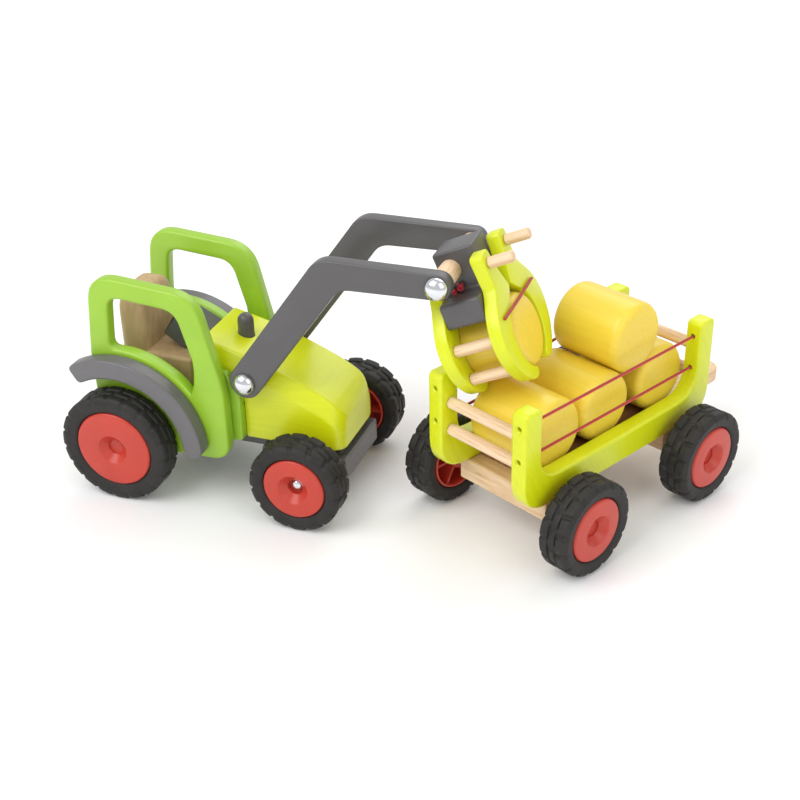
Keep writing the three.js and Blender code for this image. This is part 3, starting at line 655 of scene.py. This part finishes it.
def soft_plate(outlines, half, edge):
    """A plate of closed flat outlines in metres, half thick to each side, with its edges rounded."""
    shape = bpy.data.curves.new("plate", "CURVE")
    shape.dimensions = "2D"
    shape.fill_mode = "BOTH"
    shape.extrude = (half - edge) * MM
    shape.bevel_depth = edge * MM
    shape.bevel_resolution = EDGE_STEPS
    shape.offset = -edge * MM
    for outline in outlines:
        spline = shape.splines.new("POLY")
        spline.points.add(len(outline) - 1)
        for point, place in zip(spline.points, outline):
            point.co = (place.x, place.y, 0, 1)
        spline.use_cyclic_u = True
    drawn = bpy.data.objects.new("plate", shape)
    bpy.context.scene.collection.objects.link(drawn)
    filled = evaluated_mesh(drawn)
    bpy.data.objects.remove(drawn)
    mesh = bmesh.new()
    mesh.from_mesh(filled)
    bmesh.ops.remove_doubles(mesh, verts=mesh.verts, dist=WELD)
    return mesh


def board(node, body, axis, material, cutters=()):
    """A board cut to a CAD plate's outline, with its edges rounded all along."""
    axis = Vector(axis).normalized()
    loops, low, high = cap_loops(node, axis)
    matrix = facing(axis, axis * (low + high) / 2 * MM)
    to_local = matrix.inverted()
    outlines = []
    for loop in loops:
        flat = [to_local @ point for point in loop]
        flat = [Vector((point.x, point.y, 0)) for point in flat]
        if sum((a - b).length for a, b in zip(flat, flat[1:])) >= SMALL_HOLE * MM:
            outlines.append(rounder(rounder(without_straight_points(flat))))
    mesh = soft_plate(outlines, (high - low) / 2, EDGE_ROUND[kind_of(node, EDGE_ROUND)])
    if cutters:
        for cutter in cutters:
            bmesh.ops.transform(cutter, matrix=to_local, verts=cutter.verts)
        mesh = cut_with(mesh, cutters)
    finish_piece(f"{node}_board", mesh, material, body, matrix, [node])


def boards():
    """Every flat board of the toy, each in its paint."""
    for side, sign in SIDES:
        board(f"cab_side_{side}", "tractor", ACROSS, CAB_GREEN)
        board(f"fender_{side}", "tractor", ACROSS, FENDER_GREY)
        board(f"loader_arm_{side}", "loader_arms", ACROSS, GREY)
        for plate, outward in (("front", GRIPPER_AXIS), ("rear", -GRIPPER_AXIS)):
            board(f"jaw_{side}_{plate}", f"jaw_{side}", outward, LIME)
        holes = cord_holes(sign)
        board(f"trailer_side_{side}", "trailer", ACROSS_TRAILER, LIME_TRAILER, holes)
    board("gripper_head", "gripper", GRIPPER_AXIS, GREY)


def cord_holes(sign):
    """Tools for one trailer side's cord holes, two through each post, sunk at the near post."""
    depth = COUNTERSINK_RADIUS - CORD_HOLE_RADIUS
    tools = []
    for height in (CORD_UPPER, CORD_LOWER):
        centre = along_trailer() @ Matrix.Translation((sign * CORD_SIDE * MM, height * MM, 0))
        near = (POST_NEAR - OVERSHOOT, POST_NEAR + POST + OVERSHOOT, True)
        far = (POST_FAR - POST - OVERSHOOT, POST_FAR + OVERSHOOT, False)
        for start, end, sunk in (near, far):
            profile = [(0, start), (CORD_HOLE_RADIUS, start), (CORD_HOLE_RADIUS, end), (0, end)]
            if sunk:
                lip = start + OVERSHOOT + COUNTERSINK_LIP
                profile[1:2] = [
                    (COUNTERSINK_RADIUS, start),
                    (COUNTERSINK_RADIUS, lip),
                    (CORD_HOLE_RADIUS, lip + depth),
                ]
            tool = revolve(profile, steps=20)
            bmesh.ops.transform(tool, matrix=centre, verts=tool.verts)
            tools.append(tool)
    return tools


# ---------------------------------------------------------------- CAD pieces that stay

def soften(node_object, width):
    """Rounds a CAD piece's edges, as sanded and painted wood has them."""
    weld = node_object.modifiers.new("weld", "WELD")
    weld.merge_threshold = 2 * WELD
    bevel = node_object.modifiers.new("bevel", "BEVEL")
    bevel.width = width * MM
    bevel.segments = EDGE_STEPS
    bevel.limit_method = "ANGLE"
    bevel.angle_limit = math.radians(SHARP_ANGLE)
    bevel.use_clamp_overlap = False
    normals = node_object.modifiers.new("normals", "WEIGHTED_NORMAL")
    normals.keep_sharp = False
    node_object.data.shade_smooth()


def finish_nodes():
    """Gives each CAD piece that still shows its finish, and soft edges where it is of wood."""
    finishes = {
        "cab_body": CAB_GREEN,
        "chassis": GREY,
        "steering_console": GREY,
        "trailer_floor": FLOOR_WOOD,
        "trailer_front_axle_beam": BEAM_WOOD,
        "trailer_rear_axle_beam": BEAM_WOOD,
        "trailer_drawbar": DRAWBAR_WOOD,
        "front_axle": STEEL,
        "rear_axle": STEEL,
    }
    for name, node_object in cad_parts.items():
        if node_object.hide_render:
            continue
        kind = kind_of(name, finishes)
        node_object.data.materials.clear()
        node_object.data.materials.append(finishes[kind])
        if kind in EDGE_ROUND:
            soften(node_object, EDGE_ROUND[kind])


# ---------------------------------------------------------------- wheels

def tyre_profile(radius, rim, half, lug_height):
    """Carcass points (radius, height) from the inner bead, over the tread, to the outer bead."""
    tall = radius - rim
    crown = radius - lug_height
    side = [
        (rim - 0.4, 0.70),
        (rim + 0.5, 0.80),
        (rim + 0.10 * tall, 0.86),
        (rim + 0.22 * tall, 0.90),
        (rim + 0.36 * tall, 0.925),
        (rim + 0.50 * tall, 0.93),
        (rim + 0.60 * tall, 0.925),
        (rim + 0.68 * tall, 0.91),
        (crown - 0.16 * tall, 0.88),
        (crown - 0.08 * tall, 0.83),
        (crown - 0.03 * tall, 0.76),
    ]
    side += [(crown, share / 100) for share in (68, 60, 52, 44, 38, 32, 27, 22, 17, 10)]
    lower = [(r, -share * half) for r, share in side]
    upper = [(r, share * half) for r, share in reversed(side)]
    return lower + [(crown, 0.0)] + upper


def step_between(value, low, high):
    """0 below low and 1 above high, with a smooth rise between."""
    share = min(1.0, max(0.0, (value - low) / (high - low)))
    return share * share * (3 - 2 * share)


def tyre(radius, rim, half, lugs, lug_height):
    """Tyre with three staggered rows of blocks; the outer rows are slanted and wrap on to the wall."""
    tall = radius - rim
    profile = tyre_profile(radius, rim, half, lug_height)

    def block_height(angle, share):
        """Height of the tread pattern, 0 to 1, at a share of the half width."""
        turn = angle / (2 * math.pi) * lugs
        height = 0.0
        for side in (-1, 1):
            across = share * side
            offset = 0.0 if side > 0 else 0.5
            slant = 0.2 * max(0.0, min(1.0, across))
            phase = (turn + offset + slant) % 1.0
            along = 1 - step_between(abs(phase - 0.5), 0.36, 0.44)
            height = max(height, along * step_between(across, 0.26, 0.33))
        phase = (turn + 0.25 + 0.3 * share) % 1.0
        along = 1 - step_between(abs(phase - 0.5), 0.34, 0.44)
        return max(height, 0.85 * along * (1 - step_between(abs(share), 0.15, 0.22)))

    def lug(angle, r, y):
        share = y / half
        on_wall = step_between(r, radius - 0.46 * tall, radius - 0.40 * tall)
        raised = block_height(angle, share) * on_wall
        on_tread = step_between(r, radius - lug_height - 0.18 * tall, radius - lug_height)
        outward = raised * lug_height * (0.25 + 0.75 * on_tread)
        sideways = raised * SIDE_LUG_HEIGHT * math.copysign(1, y) * step_between(abs(share), 0.5, 0.8)
        return r + outward, y + sideways

    return revolve(profile, steps=14 * lugs, move=lug)


def rim_profile(rim, half, hole_depth):
    """Closed dish: a cone and a hole sunk in the outer side, and an open back with its own hub."""
    face = half - 0.45
    floor = half - hole_depth
    web = half - WEB_DEPTH
    outer = (
        [(0, floor), (HUB_HOLE - 0.6, floor)]
        + arc(HUB_HOLE - 0.6, floor + 0.6, 0.6, -90, 0, 3)
        + arc(HUB_HOLE + 0.8, half - CONE_DEPTH - 1.2, 0.8, 180, 130, 4)
        + arc(HUB_RADIUS + 1.2, face - 1.2, 1.2, 150, 90, 4)
        + [(0.72 * rim, half - 0.6), (0.86 * rim, half - 0.95)]
        + arc(rim - 2.0, half - 2.9, 1.9, 84, 10, 5)
        + [(rim - 0.2, half - 3.2), (rim - 0.2, 0.70 * half), (rim - 0.2, -0.70 * half)]
    )
    back = (
        arc(rim - 1.1, -0.80 * half, 0.9, 0, -180, 6)
        + [(rim - 2.4, web - 0.8), (rim - 4.0, web), (9.5, web), (8.2, web - 1.2)]
        + [(6.8, -0.86 * half)]
        + arc(5.8, -0.90 * half, 1.0, 0, -90, 4)
        + [(0, -0.90 * half - 1.0)]
    )
    return outer + back


def wheel(name, body, nodes, axis, outward, hole_depth, rim, lugs, lug_height):
    """Tyre and rim with ribs on its back; a deep hub hole shows the axle's domed end."""
    low, high = extent(nodes[0], axis)
    half = (high - low) / 2 / MM
    bottom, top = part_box(nodes[0])
    radius = (top.z - bottom.z) / 2 / MM
    matrix = facing(outward, centre_of(nodes[0]))
    tread = tyre(radius, rim, half, lugs, lug_height)
    finish_piece(f"{name}_tread", tread, RUBBER, body, matrix, nodes)
    dish = revolve(rim_profile(rim, half, hole_depth), steps=72)
    inner, outer = RIB_INNER, rim - RIB_SHORT
    web = half - WEB_DEPTH + RIB_OVERLAP
    behind = RIB_BACK * half
    size = Matrix.Diagonal(((outer - inner) * MM, RIB_THICKNESS * MM, (web + behind) * MM, 1))
    place = Matrix.Translation(((inner + outer) / 2 * MM, 0, (web - behind) / 2 * MM))
    for rib in range(RIM_RIBS):
        spoke = bmesh.ops.create_cube(dish, size=1)["verts"]
        turn = Matrix.Rotation(2 * math.pi * rib / RIM_RIBS, 4, "Z")
        bmesh.ops.transform(dish, matrix=turn @ place @ size, verts=spoke)
    finish_piece(f"{name}_dish", dish, RIM_RED, body, matrix)
    if hole_depth > SHALLOW_HOLE:
        foot = half - hole_depth - AXLE_CAP_SUNK
        edge = half - hole_depth + AXLE_CAP_RIM
        profile = (
            [(0, foot), (AXLE_CAP_RADIUS, foot)]
            + dome(AXLE_CAP_RADIUS, edge, AXLE_CAP_DOME, 15)
            + [(0, edge + AXLE_CAP_DOME)]
        )
        finish_piece(f"{name}_axle_cap", revolve(profile, steps=36), STEEL, body, matrix)


def wheels():
    """The tractor's and the trailer's wheels; only the tractor's front hubs show their axle."""
    for side, sign in SIDES:
        for end, tractor_wheel, hole_depth in (
            ("front", SMALL_WHEEL, DEEP_HOLE),
            ("rear", LARGE_WHEEL, SHALLOW_HOLE),
        ):
            wheel(
                f"{end}_{side}", f"{end}_{side}_wheel", [f"{end}_{side}_tyre", f"{end}_{side}_rim"],
                ACROSS, Vector((0, sign, 0)), hole_depth, **tractor_wheel,
            )
            node = f"trailer_{end}_{side}_wheel"
            outward = ACROSS_TRAILER * sign
            wheel(
                f"trailer_{end}_{side}", node, [node], ACROSS_TRAILER, outward, SHALLOW_HOLE,
                **SMALL_WHEEL,
            )


# ---------------------------------------------------------------- turned wooden pieces

def dowel(name, node, body, axis, chamfer):
    """A dowel with eased ends that stands for a CAD rod."""
    radius, half = turned_size(node, axis)
    profile = (
        [(0, -half)]
        + arc(radius - chamfer, -half + chamfer, chamfer, -90, 0, 3)
        + arc(radius - chamfer, half - chamfer, chamfer, 0, 90, 3)
        + [(0, half)]
    )
    place = facing(axis, centre_of(node))
    finish_piece(name, revolve(profile, steps=32), DOWEL_WOOD, body, place, [node])


def dowels():
    """The jaws' dowels and pegs, the trailer's rails and the gripper's dowel."""
    for side, _ in SIDES:
        for part, chamfer in (("upper_dowel", 0.5), ("lower_dowel", 0.5), ("peg", 1.0)):
            node = f"jaw_{side}_{part}"
            dowel(f"{node}_turned", node, f"jaw_{side}", GRIPPER_AXIS, chamfer)
    for end in ("front", "rear"):
        for level in ("upper", "lower"):
            node = f"trailer_{end}_{level}_rail"
            dowel(f"{node}_turned", node, "trailer", ACROSS_TRAILER, chamfer=0.4)
    dowel("gripper_dowel_turned", "gripper_dowel", "loader_arms", ACROSS, chamfer=0.4)


def bales():
    """The held bale and the trailer's four, as turned drums with broad round edges."""
    held = [("gripper_bale", "gripper", GRIPPER_AXIS)]
    for place in ("front", "middle", "rear"):
        held.append((f"trailer_bale_{place}", "trailer", ACROSS_TRAILER))
    held.append(("trailer_bale_top", "top_bale", ACROSS_TRAILER))
    for node, body, axis in held:
        radius, half = turned_size(node, axis)
        profile = (
            [(0, -half), (radius * 0.5, -half)]
            + arc(radius - BALE_EDGE, -half + BALE_EDGE, BALE_EDGE, -90, 0, 7)
            + [(radius, -half * 0.4), (radius, half * 0.4)]
            + arc(radius - BALE_EDGE, half - BALE_EDGE, BALE_EDGE, 0, 90, 7)
            + [(radius * 0.5, half), (0, half)]
        )
        finish_piece(f"{node}_turned", revolve(profile, steps=96), STRAW, body,
                     facing(axis, centre_of(node)), [node])


def exhaust():
    """Exhaust: a peg with a round top."""
    low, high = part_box("exhaust")
    centre = (low + high) / 2
    radius = (high.y - low.y) / 2 / MM
    bottom, top = low.z / MM, high.z / MM
    crown = dome(radius, top - radius, radius, 15)
    profile = [(0, bottom), (radius, bottom)] + crown + [(0, top)]
    finish_piece("exhaust_turned", revolve(profile, steps=40), GREY, "tractor",
                 Matrix.Translation((centre.x, centre.y, 0)), ["exhaust"])


# ---------------------------------------------------------------- hood and seat

def tractor_origin():
    """The foot of the rear axle's middle, where the tractor's own frame starts."""
    centre = centre_of("rear_axle")
    return Vector((centre.x, centre.y, 0))


def ridge_height(x):
    """The hood's top at a station, on a smooth curve through the ridge's points."""
    for i in range(1, len(HOOD_RIDGE)):
        if x <= HOOD_RIDGE[i][0]:
            break
    (x0, z0), (x1, z1) = HOOD_RIDGE[i - 1], HOOD_RIDGE[i]
    before = HOOD_RIDGE[max(i - 2, 0)]
    after = HOOD_RIDGE[min(i + 1, len(HOOD_RIDGE) - 1)]
    span = x1 - x0
    t = (x - x0) / span
    leave = (z1 - before[1]) / (x1 - before[0]) * span
    arrive = (after[1] - z0) / (after[0] - x0) * span
    return (
        (2 * t ** 3 - 3 * t ** 2 + 1) * z0 + (t ** 3 - 2 * t ** 2 + t) * leave
        + (3 * t ** 2 - 2 * t ** 3) * z1 + (t ** 3 - t ** 2) * arrive
    )


def hood_section(x, turn):
    """The hood's (y, z) outline at a station; beyond turn its sides draw in round the nose."""
    across, down = HOOD_CHAMFER
    beyond = max(0.0, x - turn)
    inset = HOOD_NOSE_ROUND - math.sqrt(max(0.0, HOOD_NOSE_ROUND ** 2 - beyond ** 2))
    side = HOOD_HALF - inset
    top = ridge_height(x)
    return eased([
        (-side, HOOD_BOTTOM), (side, HOOD_BOTTOM), (side, top - down),
        (side - across, top), (across - side, top), (-side, top - down),
    ], HOOD_EDGE)


def hood():
    """Hood lofted along its ridge, cut for the windscreen and the cab, with a hole for the exhaust."""
    turn = HOOD_RIDGE[-1][0] - HOOD_NOSE_ROUND
    stations = list(range(HOOD_RIDGE[0][0], turn, HOOD_STEP))
    stations += [turn + HOOD_NOSE_ROUND * math.sin(math.radians(a)) for a in range(6, 91, 6)]
    mesh = bmesh.new()
    loft(mesh, [
        [mesh.verts.new((x * MM, y * MM, z * MM)) for y, z in hood_section(x, turn)] for x in stations
    ])
    bmesh.ops.recalc_face_normals(mesh, faces=mesh.faces)
    top, foot = SCREEN
    rear = [(0, 0), (CAB_FRONT, 0), (CAB_FRONT, foot[1]), foot, top, (0, top[1])]
    screen = prism(rear, 2 * HOOD_HALF)
    origin = tractor_origin()
    low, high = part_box("exhaust")
    radius = (high.y - low.y) / 2 / MM + EXHAUST_GAP
    bottom, above = EXHAUST_HOLE
    hole = revolve([(0, bottom), (radius, bottom), (radius, above), (0, above)], steps=32)
    place = Matrix.Translation(((low.x + high.x) / 2 - origin.x, 0, 0))
    bmesh.ops.transform(hole, matrix=place, verts=hole.verts)
    cut = cut_with(mesh, [screen, hole])
    finish_piece("hood_shell", cut, LIME, "tractor", Matrix.Translation(origin), ["hood"])


def seat():
    """Seat: a back with a rounded top and a cushion, both drawn across the tractor."""
    origin = tractor_origin()
    for name, top, ease, (rear, front), edge in SEAT_PARTS:
        corners = [(-SEAT_HALF, CAB_TOP), (SEAT_HALF, CAB_TOP), (SEAT_HALF, top), (-SEAT_HALF, top)]
        outline = [Vector((y * MM, z * MM, 0)) for y, z in eased(corners, ease, steps=10)]
        middle = Vector((origin.x + (rear + front) / 2 * MM, origin.y, 0))
        mesh = soft_plate([outline], (front - rear) / 2, edge)
        replaced = ["seat"] if name == "seat_back" else []
        place = Matrix.Translation(middle) @ TIPPED
        finish_piece(name, mesh, SEAT_WOOD, "tractor", place, replaced)


# ---------------------------------------------------------------- chrome caps

def dome_cap(name, body, centre, outward, radius, height, replaces=()):
    """A pressed chrome cap: a plain dome over a short straight rim."""
    crown = dome(radius, CHROME_CAP_RIM, height - CHROME_CAP_RIM, 6)
    profile = [(0, 0), (radius - 0.4, 0), (radius, 0.3)] + crown + [(0, height)]
    place = facing(outward, centre)
    finish_piece(name, revolve(profile, steps=56), STEEL, body, place, replaces)


def caps():
    """Domed caps at both ends of the gripper's dowel and of the lift's rod, and the rod itself."""
    rod_low, rod_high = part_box("lift_pivot_rod")
    centre = centre_of("lift_pivot_rod")
    for side, sign in SIDES:
        node = f"gripper_cap_{side}"
        low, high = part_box(node)
        foot = (low + high) / 2
        foot.y = low.y if sign > 0 else high.y
        radius = (high.z - low.z) / 2 / MM
        height = (high.y - low.y) / MM
        outward = Vector((0, sign, 0))
        dome_cap(f"{node}_dome", "loader_arms", foot, outward, radius, height, [node])
        foot = centre.copy()
        foot.y = rod_high.y - height * MM if sign > 0 else rod_low.y + height * MM
        dome_cap(f"lift_cap_{side}", "tractor", foot, outward, radius, height)
    reach = (rod_high.y - rod_low.y) / 2 / MM - LIFT_ROD_SHORT
    profile = [(0, -reach), (LIFT_ROD_RADIUS, -reach), (LIFT_ROD_RADIUS, reach), (0, reach)]
    finish_piece("lift_rod", revolve(profile, steps=32), STEEL, "tractor",
                 facing(ACROSS, centre), ["lift_pivot_rod"])


# ---------------------------------------------------------------- elastic cords

def trailer_matrix():
    """The trailer's own frame: X from its near axle to the drawbar, Z up."""
    centre = centre_of("trailer_front_axle_beam")
    return Matrix.Translation((centre.x, centre.y, 0)) @ Matrix.Rotation(TRAILER_RADIANS, 4, "Z")


def along_trailer():
    """The trailer's frame tipped over, so that its local Z runs along the trailer and Y is up."""
    return trailer_matrix() @ TIPPED


def knot(name, place, radius, matrix, body):
    """A small overhand knot: a tube wound along a ring of the given radius."""
    points = []
    steps = 36
    for step in range(steps + 1):
        angle = 2 * math.pi * KNOT_TURNS * step / steps
        wave = KNOT_TWIST * angle / KNOT_TURNS
        ring = radius * (0.62 + 0.38 * math.cos(wave))
        points.append(Vector(place) + Vector((
            ring * math.cos(angle), ring * math.sin(angle), radius * 0.55 * math.sin(wave)
        )))
    finish_piece(name, tube(points, KNOT_CORD_RADIUS, sides=8), KNOT, body, matrix)


def trailer_cords():
    """An elastic cord round each trailer side; the left one dips under the jaw."""
    for side, sign in SIDES:
        y = sign * CORD_SIDE
        route = [(y, CORD_UPPER, POST_NEAR + CORD_SUNK)]
        if side == "left":
            route += [
                (y, CORD_UPPER, POST_NEAR + POST + 1.5),
                (y, CORD_UPPER - CORD_DIP, CORD_DIP_FROM),
                (y, CORD_UPPER - CORD_DIP, CORD_DIP_TO),
                (y, CORD_UPPER, POST_FAR - POST - 1.5),
            ]
        route += [
            (y, CORD_UPPER, POST_FAR + CORD_CLEAR),
            (y, CORD_LOWER, POST_FAR + CORD_CLEAR),
            (y, CORD_LOWER, POST_NEAR + CORD_SUNK),
        ]
        braid = tube(rounded_route(route, CORD_BEND), CORD_RADIUS)
        finish_piece(f"trailer_cord_{side}_braid", braid, ELASTIC, "trailer",
                     along_trailer(), [f"trailer_cord_{side}"])


def gripper_matrix():
    """The gripper's own frame: Z along the jaws' axis, Y up through the head, X across."""
    up = Vector((-math.sin(LEAN), 0, math.cos(LEAN)))
    turn = Matrix((ACROSS, up, GRIPPER_AXIS)).transposed().to_4x4()
    return Matrix.Translation(centre_of("gripper_dowel")) @ turn


def jaw_cords():
    """The elastic across the front of the jaws, and the knots of its ends at the head."""
    gripper = gripper_matrix()
    low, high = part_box("jaw_elastic")
    inside = gripper.inverted() @ centre_of("jaw_elastic")
    behind, height = -inside.z / MM, inside.y / MM
    half = (high.y - low.y) / 2 / MM
    route = [(behind, height, -half), (behind, height - JAW_ELASTIC_SAG, 0), (behind, height, half)]
    sideways = gripper @ Matrix.Rotation(math.pi / 2, 4, "Y")
    finish_piece("jaw_elastic_braid", tube(route, CORD_RADIUS), ELASTIC, "gripper",
                 sideways, ["jaw_elastic"])
    for name, place, radius in KNOTS:
        knot(name, place, radius, gripper, "gripper")


# ---------------------------------------------------------------- floor, light and camera

def stage():
    """A white floor and sky, and three soft lamps."""
    bpy.ops.mesh.primitive_plane_add(size=FLOOR_SIZE, location=(0, 0, -FLOOR_GAP))
    floor = bpy.context.object
    floor.name = "floor"
    ground = Shader("floor_white")
    ground.set(Base_Color=(0.93, 0.93, 0.93, 1), Roughness=0.8)
    floor.data.materials.append(ground.material)
    world = bpy.data.worlds.new("studio")
    bpy.context.scene.world = world
    world.use_nodes = True
    sky = world.node_tree.nodes["Background"]
    sky.inputs["Color"].default_value = WHITE
    sky.inputs["Strength"].default_value = SKY_STRENGTH
    for name, place, size, power in LIGHTS:
        light = bpy.data.lights.new(name, "AREA")
        light.size = size
        light.energy = power
        lamp = bpy.data.objects.new(name, light)
        lamp.location = place
        lamp.rotation_mode = "QUATERNION"
        lamp.rotation_quaternion = Vector(place).to_track_quat("Z", "Y")
        bpy.context.scene.collection.objects.link(lamp)


def camera():
    """The camera, turned by its three angles and set at its place."""
    azimuth, elevation = math.radians(CAMERA_AZIMUTH), math.radians(CAMERA_ELEVATION)
    level = math.cos(elevation)
    back = Vector((math.sin(azimuth) * level, -math.cos(azimuth) * level, math.sin(elevation)))
    right = Vector((math.cos(azimuth), math.sin(azimuth), 0))
    up = back.cross(right)
    turned_right = right * math.cos(CAMERA_ROLL) + up * math.sin(CAMERA_ROLL)
    turned_up = back.cross(turned_right)
    lens = bpy.data.cameras.new("camera")
    lens.sensor_width = CAMERA_SENSOR
    lens.lens = CAMERA_LENS
    view = bpy.data.objects.new("camera", lens)
    turn = Matrix((turned_right, turned_up, back)).transposed().to_4x4()
    view.matrix_world = Matrix.Translation(CAMERA_PLACE) @ turn
    bpy.context.scene.collection.objects.link(view)
    bpy.context.scene.camera = view
    bpy.context.scene.view_settings.view_transform = "Standard"


camera()
stage()
boards()
wheels()
dowels()
bales()
exhaust()
hood()
seat()
caps()
trailer_cords()
jaw_cords()
finish_nodes()
